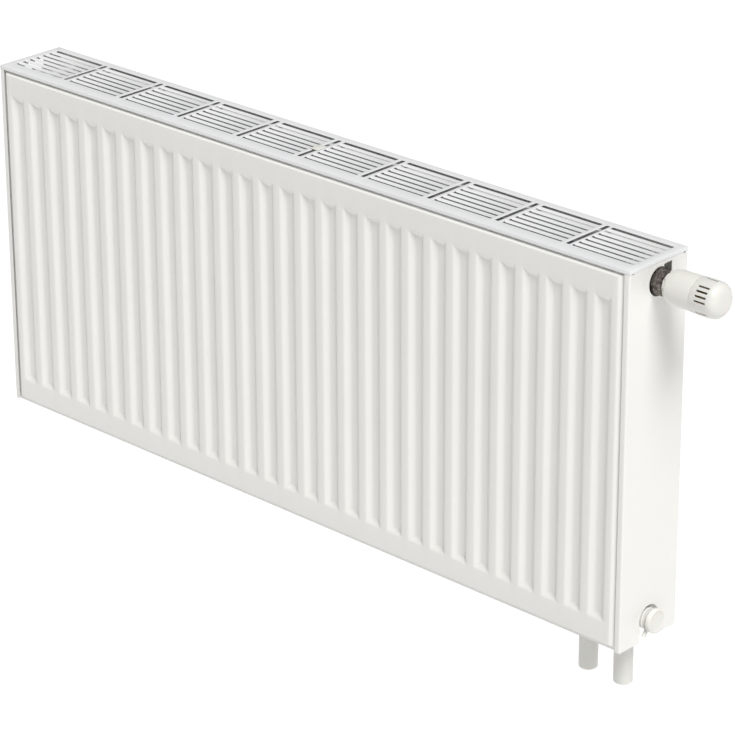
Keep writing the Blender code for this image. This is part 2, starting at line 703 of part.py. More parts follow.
def make_valve():
    """The insert that screws into the top right hub, with its spindle, spring and packing."""
    face = HUB_X + SOCKET_REACH
    seat = HUB_X + 1 * MM
    shank = face - seat
    collar = shank + 2.4 * MM
    tip = shank + 18 * MM
    insert = [
        (4.4 * MM, tip), (12.0 * MM, tip), (12.0 * MM, collar), (9.5 * MM, collar),
        (9.5 * MM, 5 * MM), (7.5 * MM, 3 * MM), (7.5 * MM, 0), (3.0 * MM, 0), (3.0 * MM, 2 * MM),
        (5.2 * MM, 2 * MM), (5.2 * MM, shank + 8 * MM), (2.3 * MM, shank + 8 * MM),
        (2.3 * MM, tip - 6 * MM), (4.4 * MM, tip - 6 * MM),
    ]
    smooth(turned("valve_insert", insert, "brass", valve_point(seat), "+X", 18, ring=True))
    seal_ring("valve_insert_seal", 11.0 * MM, 1.8 * MM, valve_point(face + 1.2 * MM))
    smooth(pipe("spindle_packing", 4.1 * MM, 1.9 * MM, 4.5 * MM, "black_rubber",
                valve_point(face + 12.3 * MM), "+X", 16))

    spindle_end = HALF + 6.6 * MM
    spindle_start = seat - 5.7 * MM
    spindle_length = spindle_end - spindle_start
    stop = HUB_X + 17.8 * MM - spindle_start
    spindle = [
        (0, spindle_length), (1.6 * MM, spindle_length), (1.6 * MM, stop + 1.5 * MM),
        (4.6 * MM, stop + 1.5 * MM), (4.6 * MM, stop), (1.6 * MM, stop), (1.6 * MM, 0), (0, 0),
    ]
    smooth(turned("valve_spindle", spindle, "spring_steel", valve_point(spindle_start), "+X", 16))
    smooth(pipe("valve_disc", 6.2 * MM, 1.9 * MM, 3 * MM, "black_rubber",
                valve_point(seat - 5.2 * MM), "+X"))
    make_spring("valve_spring", 4.2 * MM, 0.45 * MM, seat + 2.9 * MM, HUB_X + 15.8 * MM, 5)
    smooth(pipe("preset_ring", 7.0 * MM, 4.8 * MM, 2.6 * MM, "white_plastic",
                valve_point(HALF + 4.4 * MM), "+X"))


def valve_point(x):
    return (x, MID_Y, TOP_HUB_Z)


def make_spring(name, radius, wire, x_low, x_high, turns):
    """A compression spring about the valve's axis."""
    curve = bpy.data.curves.new(f"{name}_wire", "CURVE")
    curve.dimensions = "3D"
    curve.bevel_depth = wire
    curve.bevel_resolution = 0
    curve.use_fill_caps = True
    curve.render_resolution_u = 0
    per_turn = 10
    count = turns * per_turn + 1
    spline = curve.splines.new("POLY")
    spline.points.add(count - 1)
    for index, point in enumerate(spline.points):
        angle = 2 * pi * index / per_turn
        x = x_low + (x_high - x_low) * index / (count - 1)
        point.co = (x, MID_Y + radius * cos(angle), TOP_HUB_Z + radius * sin(angle), 1)
    spring = bpy.data.objects.new(name, curve)
    curve.materials.append(make_material(name, "spring_steel"))
    PARTS.objects.link(spring)


def make_head():
    """The thermostatic head: union nut, base, sensor, pusher and the two handwheel shells."""
    nut = [(9.6 * MM, 16 * MM), (13.5 * MM, 16 * MM), (NUT_RADIUS, 13 * MM), (NUT_RADIUS, 1 * MM),
           (14.0 * MM, 0), (12.3 * MM, 0), (12.3 * MM, 10.3 * MM), (9.6 * MM, 10.3 * MM)]
    smooth(turned("union_nut", nut, "nickel", valve_point(HALF - 3.5 * MM), "+X", 24, ring=True))

    base = [
        (9.0 * MM, 46 * MM), (11.5 * MM, 46 * MM), (11.5 * MM, 16 * MM), (16.7 * MM, 16 * MM),
        (16.7 * MM, 13 * MM), (13.0 * MM, 9.2 * MM), (9.3 * MM, 8.4 * MM), (9.3 * MM, 2.0 * MM),
        (12.0 * MM, 2.0 * MM), (12.0 * MM, 0), (7.4 * MM, 0), (7.4 * MM, 10 * MM), (9.0 * MM, 12 * MM),
    ]
    smooth(turned("head_base", base, "white_plastic", valve_point(HALF + 4.5 * MM), "+X", 20, ring=True))
    smooth(cylinder("pusher_pin", 2.0 * MM, valve_point(HALF + 6.9 * MM), 11 * MM, "+X",
                    "white_plastic", 12))
    capsule = [(0, 50 * MM), (6 * MM, 50 * MM), (8.5 * MM, 47.5 * MM), (8.5 * MM, 0), (0, 0)]
    smooth(turned("sensor_capsule", capsule, "brass", valve_point(HALF + 18.2 * MM), "+X", 20))

    grip_bore = HEAD_RADIUS - HEAD_WALL
    grip = [
        (grip_bore, HEAD_SPLIT), (HEAD_RADIUS, HEAD_SPLIT), (HEAD_RADIUS, 8 * MM),
        (HEAD_RADIUS - 0.7 * MM, 2 * MM), (HEAD_RADIUS - 1.7 * MM, 0), (grip_bore, 0),
    ]
    smooth(turned("handwheel", grip, "white_plastic", valve_point(HALF + HEAD_START), "+X",
                  HEAD_SIDES, ring=True))

    cap_start = HEAD_START + HEAD_SPLIT + TOUCH_GAP
    tall = HEAD_END - cap_start
    outer = HEAD_RADIUS + 0.5 * MM
    steps = 3
    quarter = [pi / 2 * index / steps for index in range(steps + 1)]
    centre_radius = outer - HEAD_CROWN
    centre_height = tall - HEAD_CROWN
    inner_crown = HEAD_CROWN - HEAD_WALL
    dome = [(centre_radius + HEAD_CROWN * sin(angle), centre_height + HEAD_CROWN * cos(angle))
            for angle in quarter]
    hollow = [(centre_radius + inner_crown * cos(angle), centre_height + inner_crown * sin(angle))
              for angle in quarter]
    spigot = grip_bore - TOUCH_GAP
    collar = spigot - 2 * MM
    cap = [(0, tall)] + dome + [(outer, 0), (spigot, 0), (spigot, -4 * MM), (collar, -4 * MM)]
    cap += [(collar, 1 * MM), (outer - HEAD_WALL, 3 * MM)] + hollow + [(0, tall - HEAD_WALL)]
    vented = turned("handwheel_vented_cap", cap, "white_plastic", valve_point(HALF + cap_start), "+X",
                    HEAD_SIDES)
    for group in range(VENT_GROUPS):
        for index in range(VENTS_PER_GROUP):
            spread = (index - (VENTS_PER_GROUP - 1) / 2) * VENT_STEP
            turn = VENT_FACING + 2 * pi * group / VENT_GROUPS + spread
            cutter = box(f"vent_cutter_{group}_{index}", (-VENT_LENGTH / 2, 13 * MM, -VENT_WIDTH / 2),
                         (VENT_LENGTH / 2, 25 * MM, VENT_WIDTH / 2))
            cutter.location = valve_point(HALF + VENT_CENTRE)
            cutter.rotation_euler = (turn, 0, 0)
            boolean(vented, cutter)
    smooth(vented)


def main():
    sheets = make_water_panels()
    fin_gap = PANEL_THICKNESS + TOUCH_GAP + CONVECTOR_SHEET / 2
    make_convector("front_convector", FRONT_CROWN + fin_gap, FIN_REACH)
    make_convector("rear_convector", REAR_CROWN - fin_gap, -FIN_REACH)
    make_grille()
    make_grille_clips()
    make_centre_clip()
    make_side_cover("left_side_cover", -1)
    make_side_cover("right_side_cover", 1)
    make_connections(sheets)
    make_plugs()
    make_lugs()
    make_valve()
    make_head()


main()
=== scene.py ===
"""Looks of the panel radiator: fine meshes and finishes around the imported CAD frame."""

import json
from math import cos, hypot, pi, radians, sin, tan

import bmesh
import bpy
from mathutils import Matrix, Vector


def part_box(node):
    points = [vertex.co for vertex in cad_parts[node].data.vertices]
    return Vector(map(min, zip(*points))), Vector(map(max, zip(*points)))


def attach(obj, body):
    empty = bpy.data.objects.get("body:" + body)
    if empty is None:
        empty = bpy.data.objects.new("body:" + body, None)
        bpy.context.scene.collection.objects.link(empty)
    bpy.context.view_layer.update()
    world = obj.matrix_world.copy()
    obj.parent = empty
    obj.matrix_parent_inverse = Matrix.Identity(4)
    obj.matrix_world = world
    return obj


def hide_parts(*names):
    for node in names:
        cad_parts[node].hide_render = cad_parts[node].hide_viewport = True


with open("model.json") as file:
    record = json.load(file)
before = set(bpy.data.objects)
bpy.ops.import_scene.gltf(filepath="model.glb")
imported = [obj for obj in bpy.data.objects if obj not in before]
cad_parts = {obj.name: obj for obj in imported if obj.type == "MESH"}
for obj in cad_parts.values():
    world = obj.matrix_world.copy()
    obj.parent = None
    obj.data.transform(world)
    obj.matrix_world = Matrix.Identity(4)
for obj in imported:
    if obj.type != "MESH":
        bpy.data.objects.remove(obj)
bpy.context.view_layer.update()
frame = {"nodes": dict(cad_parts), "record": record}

MM = 0.001

# Places taken from the frame
GRILLE_LOW, GRILLE_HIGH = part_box("top_grille")
NUT_LOW, NUT_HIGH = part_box("union_nut")
CAP_LOW, CAP_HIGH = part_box("drain_plug_cap")
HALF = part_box("right_side_cover")[1].x
MID_Y = (NUT_LOW.y + NUT_HIGH.y) / 2
VALVE_Z = (NUT_LOW.z + NUT_HIGH.z) / 2
DRAIN_Z = (CAP_LOW.z + CAP_HIGH.z) / 2
FRONT_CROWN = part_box("front_panel_outer_sheet")[0].y
REAR_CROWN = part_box("rear_panel_outer_sheet")[1].y
TOP = GRILLE_HIGH.z
NUT_RADIUS = (NUT_HIGH.z - NUT_LOW.z) / 2

# Pressed panels
CHANNELS = 30
PITCH = 2 * HALF / CHANNELS
SHEET = 1.25 * MM
PRESS_DEPTH = 5.0 * MM
PANEL_THICKNESS = 2 * (PRESS_DEPTH + SHEET) + 0.3 * MM
GROOVE_FLOOR = 6.4 * MM
GROOVE_FLANK = 9.5 * MM
HEADER_HEIGHT = 31 * MM
SEAM_WIDTH = 3.5 * MM
SEAM_SLOPE = 3.6 * MM
SIDE_SEAM = 5.0 * MM
SIDE_SLOPE = 7.0 * MM

# Grille
FIELDS = 10
SLOTS_PER_FIELD = 7
SLOT_PITCH = 10.8 * MM
SLOT_WIDTH = 4.8 * MM
SLOT_LENGTH = 84 * MM
SLOT_TURN_DOWN = 0.5 * MM
SLOT_SHIFT = 3.5 * MM       # the slots' middle, behind the cover's middle
RIB_GAP = 5.5 * MM
COVER_SHEET = 0.8 * MM
END_FIELD_SHIFT = 2.0 * MM
BAR_DROP = 0.8 * MM         # a louvre bar's front edge is this much lower than its rear edge
BAR_SAG = 0.4 * MM          # and both edges are this much lower than its middle

# Thermostatic head
HEAD_WALL = 2.3 * MM
HEAD_CROWN = 11 * MM
HEAD_SIDES = 96
VENT_GROUPS = 4
VENTS_PER_GROUP = 4
VENT_LENGTH = 15 * MM
VENT_WIDTH = 2.3 * MM
VENT_STEP = radians(16)
VENT_CENTRE = 69 * MM
VENT_FACING = radians(152)

# Union nut
KNURL_TEETH = 46
KNURL_SIDES_PER_TOOTH = 6
KNURL_PITCH = 7.5 * MM      # the knurl lines shift by one tooth over this length
KNURL_DEPTH = 0.75 * MM

# Plugs
PLUG_HEAD_RADIUS = 12.5 * MM
PLUG_THREAD_RADIUS = 9.5 * MM
PLUG_HEAD_START = 15.4 * MM
PLUG_SOCKET_RADIUS = 6.2 * MM
DRAIN_TURN = radians(-35)   # the drain nozzle's swing from straight down

# Stage and camera
FLOOR_LEVEL = -1.5
FLOOR_SIZE = 30
FLOOR_GLOW = 0.10
WORLD_STRENGTH = 0.25
CEILING_STRENGTH = 3.05
CEILING_DIRECTION = (0.46, -0.22, 0.86)
CEILING_SPREAD = radians(28)
SOFTBOX_POWER = 4
SOFTBOX_SIZE = (1.4, 2.2)
SOFTBOX_PLACE = (3.2, -1.6, 0.9)

CAMERA_AZIMUTH = radians(43.44)
CAMERA_PITCH = radians(21.89)
CAMERA_ROLL = radians(-0.28)
CAMERA_AIM = Vector((0.0783, MID_Y, 0.3372))
CAMERA_DISTANCE = 3.69
CAMERA_LENS = 157.8
CAMERA_SHIFT = -0.15

ENAMEL_SLOT = "enamel_white"
PLASTIC_SLOT = "plastic_white"
NICKEL_SLOT = "nickel_plated"
BRASS_SLOT = "brass_bare"
STEEL_SLOT = "steel_spring"
RUBBER_SLOT = "rubber_black"


# Materials

def new_material(name):
    material = bpy.data.materials.new(name)
    material.use_nodes = True
    return material, material.node_tree.nodes, material.node_tree.links


def noise_node(nodes, links, scale, detail, coordinates):
    noise = nodes.new("ShaderNodeTexNoise")
    noise.inputs["Scale"].default_value = scale
    noise.inputs["Detail"].default_value = detail
    links.new(coordinates.outputs["Object"], noise.inputs["Vector"])
    return noise


def finish_material(name, light, dark, rough, grain, bump, metallic=0.0, tone_scale=9.0, coat=0.0,
                    coat_roughness=0.2, specular=0.5, subsurface=0.0):
    """A finish whose tone, gloss and fine relief each follow their own noise."""
    material, nodes, links = new_material(name)
    shader = nodes["Principled BSDF"]
    coordinates = nodes.new("ShaderNodeTexCoord")

    tone = noise_node(nodes, links, tone_scale, 3.0, coordinates)
    ramp = nodes.new("ShaderNodeValToRGB")
    ramp.color_ramp.elements[0].position = 0.3
    ramp.color_ramp.elements[0].color = (*dark, 1)
    ramp.color_ramp.elements[1].position = 0.7
    ramp.color_ramp.elements[1].color = (*light, 1)
    links.new(tone.outputs["Fac"], ramp.inputs["Fac"])
    links.new(ramp.outputs["Color"], shader.inputs["Base Color"])

    gloss = noise_node(nodes, links, grain * 0.2, 4.0, coordinates)
    spread = nodes.new("ShaderNodeMapRange")
    spread.inputs["To Min"].default_value = rough[0]
    spread.inputs["To Max"].default_value = rough[1]
    links.new(gloss.outputs["Fac"], spread.inputs["Value"])
    links.new(spread.outputs["Result"], shader.inputs["Roughness"])

    relief = noise_node(nodes, links, grain, 2.0, coordinates)
    bump_node = nodes.new("ShaderNodeBump")
    bump_node.inputs["Strength"].default_value = bump
    bump_node.inputs["Distance"].default_value = 0.1 * MM
    links.new(relief.outputs["Fac"], bump_node.inputs["Height"])
    links.new(bump_node.outputs["Normal"], shader.inputs["Normal"])

    shader.inputs["Metallic"].default_value = metallic
    shader.inputs["Coat Weight"].default_value = coat
    shader.inputs["Coat Roughness"].default_value = coat_roughness
    shader.inputs["Specular IOR Level"].default_value = specular
    shader.inputs["Subsurface Weight"].default_value = subsurface
    shader.inputs["Subsurface Scale"].default_value = 1.5 * MM
    return material


ENAMEL = finish_material("white_enamel", (0.83, 0.825, 0.80), (0.815, 0.81, 0.785), (0.30, 0.40),
                         900, 0.12, coat=0.15, coat_roughness=0.25, specular=0.4)
# The grille gets a slightly darker, bluer copy of the white enamel: painted shade and a painted cool light
# tint, as the grille is the same white enamel as the panels
GRILLE_PAINTED_SHADE_ENAMEL = finish_material("grille_painted_shade_enamel", (0.80, 0.805, 0.82), (0.78, 0.785, 0.80), (0.32, 0.42),
                                900, 0.12, coat=0.15, coat_roughness=0.25, specular=0.4)
# The convector fins are painted dark grey as painted shade for the deep gap between the panels; the real
# fins are white enamel like the rest
FIN_PAINTED_SHADE = finish_material("convector_painted_shade", (0.30, 0.31, 0.34), (0.22, 0.23, 0.26), (0.45, 0.6),
                             600, 0.2, tone_scale=30)
PLASTIC = finish_material("white_plastic", (0.76, 0.755, 0.72), (0.74, 0.735, 0.70), (0.34, 0.46),
                          1400, 0.10, tone_scale=25, specular=0.45, subsurface=0.08)
NICKEL = finish_material("nickel_plate", (0.36, 0.32, 0.30), (0.06, 0.05, 0.045), (0.26, 0.55),
                         700, 0.35, metallic=1.0, tone_scale=420)
BRASS = finish_material("turned_brass", (0.80, 0.62, 0.32), (0.66, 0.48, 0.24), (0.22, 0.42),
                        900, 0.2, metallic=1.0, tone_scale=160)
STEEL = finish_material("spring_steel", (0.50, 0.50, 0.52), (0.36, 0.36, 0.38), (0.24, 0.42),
                        900, 0.15, metallic=1.0, tone_scale=200)
RUBBER = finish_material("seal_rubber", (0.030, 0.030, 0.030), (0.018, 0.018, 0.018), (0.65, 0.85),
                         1200, 0.4, tone_scale=200)

SLOT_MATERIALS = {
    ENAMEL_SLOT: ENAMEL,
    PLASTIC_SLOT: PLASTIC,
    NICKEL_SLOT: NICKEL,
    BRASS_SLOT: BRASS,
    STEEL_SLOT: STEEL,
    RUBBER_SLOT: RUBBER,
}


# Mesh helpers

def add_mesh(name, bm, material):
    mesh = bpy.data.meshes.new(name)
    bm.to_mesh(mesh)
    bm.free()
    obj = bpy.data.objects.new(name, mesh)
    bpy.context.scene.collection.objects.link(obj)
    mesh.materials.append(material)
    return obj


def bake(obj):
    """Replace the object's mesh with its evaluated mesh, and drop its modifiers."""
    graph = bpy.context.evaluated_depsgraph_get()
    mesh = bpy.data.meshes.new_from_object(obj.evaluated_get(graph))
    obj.modifiers.clear()
    obj.data = mesh
    return obj


def cut(obj, cutter, operation="DIFFERENCE"):
    modifier = obj.modifiers.new("cut", "BOOLEAN")
    modifier.operation = operation
    modifier.object = cutter
    modifier.solver = "EXACT"
    bake(obj)
    bpy.data.objects.remove(cutter, do_unlink=True)
    return obj


def thicken(obj, thickness, offset=0.0):
    solidify = obj.modifiers.new("sheet", "SOLIDIFY")
    solidify.thickness = thickness
    solidify.offset = offset
    solidify.use_even_offset = True
    solidify.use_quality_normals = True
    return obj


def soften(obj, width, segments=2, angle=40):
    bevel = obj.modifiers.new("edges", "BEVEL")
    bevel.width = width
    bevel.segments = segments
    bevel.limit_method = "ANGLE"
    bevel.angle_limit = radians(angle)
    return obj


def settle(obj, body, nodes, angle=35):
    """Shade the piece, let it ride on its body and stand for its CAD nodes."""
    bake(obj)
    obj.data.shade_smooth()
    obj.data.set_sharp_from_angle(angle=radians(angle))
    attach(obj, body)
    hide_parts(*nodes)
    return obj


def fillet(points, radius, steps=4, closed=False):
    """Round each corner of an outline with an arc; short legs get a smaller one."""
    count = len(points)
    rounded = []
    for index, point in enumerate(points):
        here = Vector(point)
        if not closed and index in (0, count - 1):
            rounded.append(here)
            continue
        before = Vector(points[index - 1]) - here
        after = Vector(points[(index + 1) % count]) - here
        opening = before.angle(after)
        if opening > radians(175):
            rounded.append(here)
            continue
        reach = min(radius / tan(opening / 2), before.length * 0.45, after.length * 0.45)
        start = here + before.normalized() * reach
        end = here + after.normalized() * reach
        weight = sin(opening / 2)
        for step in range(steps + 1):
            share = step / steps
            parts = ((1 - share) ** 2, 2 * share * (1 - share) * weight, share ** 2)
            rounded.append((parts[0] * start + parts[1] * here + parts[2] * end) / sum(parts))
    return rounded


def revolve(name, profile, start, toward, material, sides=72, closed=False, shape=None):
    """Turn (radius, distance) points about a line along X; toward is 1 or -1.

    shape, when given, turns (radius, distance, angle) into the radius at that angle.
    """
    bm = bmesh.new()
    rings = []
    for radius, distance in profile:
        x = start[0] + toward * distance
        if radius < 0.001 * MM:
            rings.append([bm.verts.new((x, start[1], start[2]))])
            continue
        ring = []
        for side in range(sides):
            angle = 2 * pi * side / sides
            reach = shape(radius, distance, angle) if shape else radius
            ring.append(bm.verts.new((x, start[1] + reach * cos(angle), start[2] + reach * sin(angle))))
        rings.append(ring)
    pairs = list(zip(rings, rings[1:]))
    if closed:
        pairs.append((rings[-1], rings[0]))
    for first, second in pairs:
        for side in range(sides):
            after = (side + 1) % sides
            corners = [first[side % len(first)], first[after % len(first)],
                       second[after % len(second)], second[side % len(second)]]
            face = list(dict.fromkeys(corners))
            if len(face) > 2:
                bm.faces.new(face)
    bmesh.ops.recalc_face_normals(bm, faces=bm.faces)
    return add_mesh(name, bm, material)


def add_block(name, low, high, material):
    """A plain block between two corners."""
    bm = bmesh.new()
    matrix = Matrix.Translation((low + high) / 2) @ Matrix.Diagonal((*(high - low), 1))
    bmesh.ops.create_cube(bm, size=1, matrix=matrix)
    return add_mesh(name, bm, material)


def box_cutter(boxes):
    """One cutter of several separate boxes, each given as (size, matrix)."""
    bm = bmesh.new()
    for size, matrix in boxes:
        scaled = matrix @ Matrix.Diagonal((*size, 1))
        bmesh.ops.create_cube(bm, size=1, matrix=scaled)
    return add_mesh("cutter", bm, ENAMEL)


def rod_cutter(rods, sides=48):
    """One cutter of several rods, each given as (radius, middle, length, direction)."""
    bm = bmesh.new()
    for radius, middle, length, direction in rods:
        turn = Vector((0, 0, 1)).rotation_difference(Vector(direction)).to_matrix().to_4x4()
        bmesh.ops.create_cone(bm, cap_ends=True, segments=sides, radius1=radius, radius2=radius,
                              depth=length, matrix=Matrix.Translation(middle) @ turn)
    return add_mesh("cutter", bm, ENAMEL)


def folded_sheet(name, outline, levels, thickness, material, offset=0.0, shape=None):
    """A sheet folded along an outline in X and Y, with a row of points at each level."""
    bm = bmesh.new()
    rows = [[bm.verts.new((x, y, z)) for x, y in outline] for z in levels]
    for lower, upper in zip(rows, rows[1:]):
        for index in range(len(outline) - 1):
            bm.faces.new((lower[index], lower[index + 1], upper[index + 1], upper[index]))
    if shape:
        for vert in bm.verts:
            vert.co = shape(vert.co)
    obj = add_mesh(name, bm, material)
    return thicken(obj, thickness, offset)


def spaced(low, high, steps):
    return [low + (high - low) * index / steps for index in range(steps + 1)]


def eased(share):
    """A straight ramp from 0 to 1 with rounded ends."""
    bend = 0.35
    share = min(max(share, 0.0), 1.0)
    if share < bend:
        return share * share / (2 * bend * (1 - bend))
    if share > 1 - bend:
        return 1 - (1 - share) ** 2 / (2 * bend * (1 - bend))
    return (share - bend / 2) / (1 - bend)


# Water panels

def pressed_sheet(name, crown_y, outward):
    """One pressed sheet; its grooves and seams sink against the outward direction."""
    low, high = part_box(name)
    reach = GROOVE_FLOOR / 2 + GROOVE_FLANK
    columns = [low.x] + spaced(low.x + SIDE_SEAM, low.x + SIDE_SEAM + SIDE_SLOPE, 7)
    for channel in range(1, CHANNELS):
        centre = channel * PITCH - HALF
        columns += spaced(centre - reach, centre - GROOVE_FLOOR / 2, 8)
        columns += spaced(centre + GROOVE_FLOOR / 2, centre + reach, 8)
    columns += spaced(high.x - SIDE_SEAM - SIDE_SLOPE, high.x - SIDE_SEAM, 7) + [high.x]
    end_rows = [0] + spaced(SEAM_WIDTH, SEAM_WIDTH + SEAM_SLOPE, 5)
    end_rows += spaced(HEADER_HEIGHT, HEADER_HEIGHT + GROOVE_FLANK, 8)
    rows = [low.z + value for value in end_rows] + [high.z - value for value in reversed(end_rows)]

    def depth(x, z):
        channel = min(max(round((x + HALF) / PITCH), 1), CHANNELS - 1)
        across = (reach - abs(x + HALF - channel * PITCH)) / GROOVE_FLANK
        along = (min(z - low.z, high.z - z) - HEADER_HEIGHT) / GROOVE_FLANK
        groove = eased(min(across, along))
        side = (min(x - low.x, high.x - x) - SIDE_SEAM) / SIDE_SLOPE
        level = (min(z - low.z, high.z - z) - SEAM_WIDTH) / SEAM_SLOPE
        return PRESS_DEPTH * max(groove, 1 - min(eased(side), eased(level)))

    bm = bmesh.new()
    grid = [[bm.verts.new((x, crown_y - outward * depth(x, z), z)) for x in columns] for z in rows]
    for lower, upper in zip(grid, grid[1:]):
        for index in range(len(columns) - 1):
            bm.faces.new((lower[index], lower[index + 1], upper[index + 1], upper[index]))
    bmesh.ops.recalc_face_normals(bm, faces=bm.faces)
    middle_face = max(bm.faces, key=lambda face: face.calc_area())
    if middle_face.normal.y * outward < 0:
        bmesh.ops.reverse_faces(bm, faces=bm.faces)
    sheet = add_mesh(f"{name}_pressed", bm, ENAMEL)
    thicken(sheet, SHEET, -1)
    return settle(sheet, "radiator", [name], 25)


def make_panels():
    pressed_sheet("front_panel_outer_sheet", FRONT_CROWN, -1)
    pressed_sheet("front_panel_inner_sheet", FRONT_CROWN + PANEL_THICKNESS, 1)
    pressed_sheet("rear_panel_inner_sheet", REAR_CROWN - PANEL_THICKNESS, -1)
    pressed_sheet("rear_panel_outer_sheet", REAR_CROWN, 1)


def make_convectors():
    """Hat-shaped fins with rounded bends."""
    foot = 8 * MM
    web = 15 * MM
    thickness = 0.6 * MM
    for name, foot_side in (("front_convector", -1), ("rear_convector", 1)):
        low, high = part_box(name)
        near, far = (low.y, high.y) if foot_side < 0 else (high.y, low.y)
        inward = thickness / 2 if foot_side < 0 else -thickness / 2
        fins = round((high.x - low.x - foot) / PITCH)
        outline = []
        for fin in range(fins + 1):
            centre = low.x + foot / 2 + fin * PITCH
            outline += [(centre - foot / 2, near + inward), (centre + foot / 2, near + inward)]
            if fin < fins:
                middle = centre + PITCH / 2
                outline += [(middle - web / 2, far - inward), (middle + web / 2, far - inward)]
        rounded = fillet(outline, 1.5 * MM, 4)
        # The fins take the dark painted shade finish
        fins_mesh = folded_sheet(f"{name}_fins", rounded, [low.z, high.z], thickness, FIN_PAINTED_SHADE)
        settle(fins_mesh, "radiator", [name])


# Grille and covers

def grille_lines():
    """Column and row places of the grille, with the spans that are open."""
    field = 2 * HALF / FIELDS
    slots = []
    ribs = []
    for index in range(FIELDS):
        middle = field * (index + 0.5) - HALF
        if index == 0:
            middle += END_FIELD_SHIFT
        if index == FIELDS - 1:
            middle -= END_FIELD_SHIFT
        slots.append((middle - SLOT_LENGTH / 2, middle + SLOT_LENGTH / 2))
        if index < FIELDS - 1:
            border = field * (index + 1) - HALF
            ribs.append((border - RIB_GAP / 2, border + RIB_GAP / 2))
    first = MID_Y + SLOT_SHIFT - SLOT_PITCH * (SLOTS_PER_FIELD - 1) / 2
    rows = [(first + SLOT_PITCH * index - SLOT_WIDTH / 2, first + SLOT_PITCH * index + SLOT_WIDTH / 2)
            for index in range(SLOTS_PER_FIELD)]
    return slots, ribs, rows


def make_grille():
    slots, ribs, slot_rows = grille_lines()
    bend = 1.5 * MM
    columns = [-HALF, HALF]
    for low, high in slots:
        columns += [low, low + bend, high - bend, high]
    for low, high in ribs:
        columns += [low, high]
    rows = [GRILLE_LOW.y, GRILLE_HIGH.y]
    for low, high in slot_rows:
        rows += [low, high]
    for (_, low), (high, _) in zip(slot_rows, slot_rows[1:]):
        rows += spaced(low, high, 4)[1:-1]
    columns.sort()
    rows.sort()

    def in_spans(value, spans):
        return any(low < value < high for low, high in spans)

    inner = (slot_rows[0][0], slot_rows[-1][1])

    def is_open(x, y):
        in_slot = in_spans(x, slots) and in_spans(y, slot_rows)
        return in_slot or (in_spans(x, ribs) and inner[0] < y < inner[1])

    def height(x, y):
        """Louvre bars lean forward and arch a little; everything else is flat."""
        in_field = any(low + bend * 0.9 < x < high - bend * 0.9 for low, high in slots)
        if not in_field or not slot_rows[0][1] - 0.1 * MM < y < slot_rows[-1][0] + 0.1 * MM:
            return TOP
        across = (y - slot_rows[0][1] + 0.01 * MM) % SLOT_PITCH
        share = min(across / (SLOT_PITCH - SLOT_WIDTH), 1.0)
        return TOP - BAR_DROP * (1 - share) - BAR_SAG * (2 * share - 1) ** 2

    bm = bmesh.new()
    grid = [[bm.verts.new((x, y, height(x, y))) for x in columns] for y in rows]
    for row, (lower, upper) in enumerate(zip(grid, grid[1:])):
        for index in range(len(columns) - 1):
            x = (columns[index] + columns[index + 1]) / 2
            y = (rows[row] + rows[row + 1]) / 2
            if not is_open(x, y):
                bm.faces.new((lower[index], lower[index + 1], upper[index + 1], upper[index]))
    loose = [vert for vert in bm.verts if not vert.link_faces]
    bmesh.ops.delete(bm, geom=loose, context="VERTS")

    def at_border(edge):
        middle = (edge.verts[0].co + edge.verts[1].co) / 2
        return (min(abs(middle.x + HALF), abs(middle.x - HALF)) < 0.1 * MM
                or min(abs(middle.y - rows[0]), abs(middle.y - rows[-1])) < 0.1 * MM)

    boundary = [edge for edge in bm.edges if edge.is_boundary]
    outer_edges = [edge for edge in boundary if at_border(edge)]
    slot_edges = [edge for edge in boundary if not at_border(edge)]
    for edges, drop in ((outer_edges, GRILLE_HIGH.z - GRILLE_LOW.z), (slot_edges, SLOT_TURN_DOWN)):
        drawn = bmesh.ops.extrude_edge_only(bm, edges=edges)["geom"]
        lowered = [item for item in drawn if isinstance(item, bmesh.types.BMVert)]
        bmesh.ops.translate(bm, vec=(0, 0, -drop), verts=lowered)
    bmesh.ops.recalc_face_normals(bm, faces=bm.faces)
    if max(bm.faces, key=lambda face: face.calc_area()).normal.z < 0:
        bmesh.ops.reverse_faces(bm, faces=bm.faces)
    # The grille takes the darker, bluer copy of the enamel, as painted shade
    grille = add_mesh("louvred_grille", bm, GRILLE_PAINTED_SHADE_ENAMEL)
    soften(grille, 0.3 * MM, 3, 50)
    thicken(grille, COVER_SHEET, -1)
    settle(grille, "radiator", ["top_grille"], 30)


